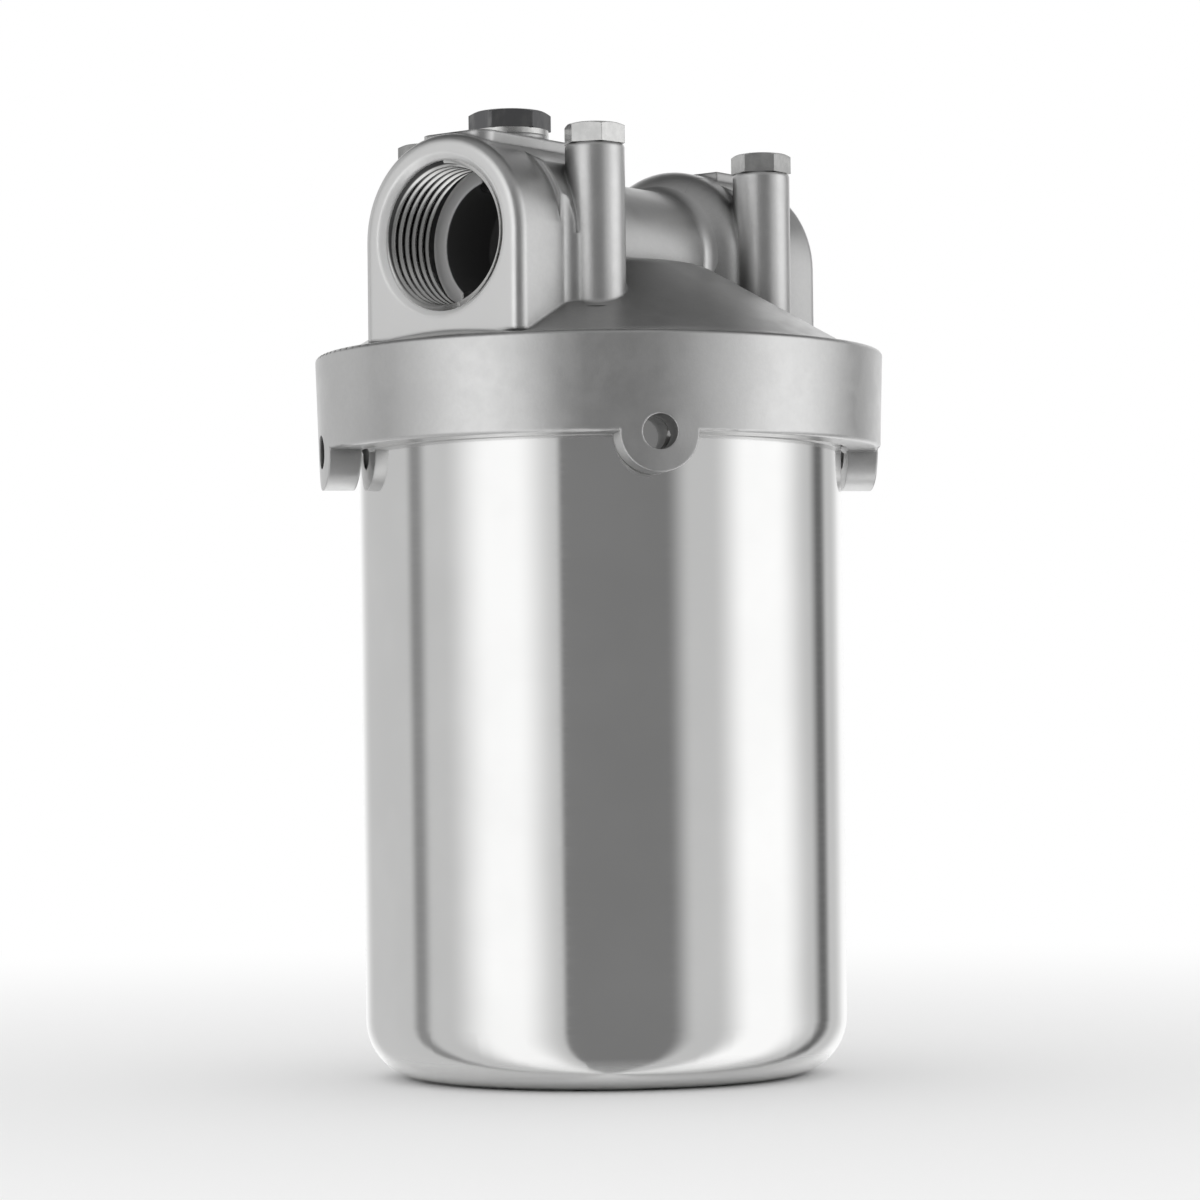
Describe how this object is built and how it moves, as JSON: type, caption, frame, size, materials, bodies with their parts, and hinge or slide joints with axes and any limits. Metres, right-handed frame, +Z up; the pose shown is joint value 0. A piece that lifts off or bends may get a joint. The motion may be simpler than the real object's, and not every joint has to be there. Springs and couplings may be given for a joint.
{
  "type": "filter housing",
  "caption": "Cartridge filter housing: cast head with two side ports and bracket posts, polished bowl on a lock ring with spanner lugs, sprung pleated cartridge inside.",
  "frame": {"origin": "centre of the bowl's flat foot", "axes": "+Z up along the bowl's axis, towards the vent plug; +X along the port axis, out of the outlet port; the inlet is at -X"},
  "size_m": [0.13, 0.13, 0.2165],
  "materials": {
    "cast_steel": "satin, bead-blasted stainless casting",
    "ring_steel": "satin, bead-blasted stainless casting with a fine turned edge",
    "polished_steel": "drawn stainless sheet, polished to a mirror",
    "turned_steel": "turned stainless steel",
    "bolt_steel": "bright stainless hexagon bolts",
    "plug_steel": "dark satin steel",
    "washer_steel": "bright stainless steel",
    "pressed_steel": "pressed stainless sheet",
    "spring_steel": "drawn stainless spring wire",
    "slip_plastic": "smooth white acetal",
    "seat_plastic": "moulded white polypropylene",
    "core_plastic": "moulded white polypropylene",
    "cap_plastic": "moulded blue plastisol",
    "filter_media": "folded polyester fleece",
    "seal_rubber": "black nitrile rubber",
    "gasket_rubber": "soft black rubber"
  },
  "bodies": {
    "bowl": {"bowl": "polished_steel", "spring_locator": "pressed_steel", "seat_spring": "spring_steel"},
    "head": {"head": "cast_steel", "outlet_nipple": "turned_steel", "nipple_seal": "seal_rubber", "bowl_seal": "seal_rubber", "mounting_bolts": "bolt_steel"},
    "sealing_washer": {"plug_washer": "washer_steel", "plug_washer_seal": "seal_rubber"},
    "vent_plug": {"vent_plug": "plug_steel"},
    "slip_ring": {"slip_ring": "slip_plastic"},
    "lock_ring": {"lock_ring": "ring_steel"},
    "spring_seat": {"spring_seat": "seat_plastic"},
    "cartridge": {"cartridge_core": "core_plastic", "pleated_media": "filter_media", "cartridge_top_cap": "cap_plastic", "cartridge_bottom_cap": "cap_plastic", "top_gasket": "gasket_rubber", "bottom_gasket": "gasket_rubber"}
  },
  "joints": [
    {"name": "head_removal", "type": "slide", "parent": "bowl", "child": "head", "axis": [0, 0, 1], "range_m": [0, 0.26]},
    {"name": "ring_back_off", "type": "slide", "parent": "bowl", "child": "slip_ring", "axis": [0, 0, -1], "range_m": [0, 0.01201]},
    {"name": "ring_turn", "type": "hinge", "parent": "slip_ring", "child": "lock_ring", "pos_m": [0, 0, 0.15], "axis": [0, 0, -1], "range_deg": [0, 1080]},
    {"name": "seat_press", "type": "slide", "parent": "bowl", "child": "spring_seat", "axis": [0, 0, -1], "range_m": [0, 0.007], "stiffness_N_per_m": 2000, "springref_m": -0.008, "deforming": ["seat_spring"]},
    {"name": "cartridge_removal", "type": "slide", "parent": "bowl", "child": "cartridge", "axis": [0, 0, 1], "range_m": [0, 0.1301]},
    {"name": "plug_lift", "type": "slide", "parent": "head", "child": "sealing_washer", "axis": [0, 0, 1], "range_m": [0, 0.00936]},
    {"name": "plug_turn", "type": "hinge", "parent": "sealing_washer", "child": "vent_plug", "pos_m": [-0.0315, 0, 0.2123], "axis": [0, 0, 1], "range_deg": [0, 2520]}
  ],
  "couplings": [
    {"joint": "ring_back_off", "follows": "ring_turn", "m_per_rad": 0.00063662},
    {"joint": "cartridge_removal", "follows": "head_removal", "ratio": 0.5},
    {"joint": "plug_turn", "follows": "plug_lift", "rad_per_m": 4699.5}
  ]
}
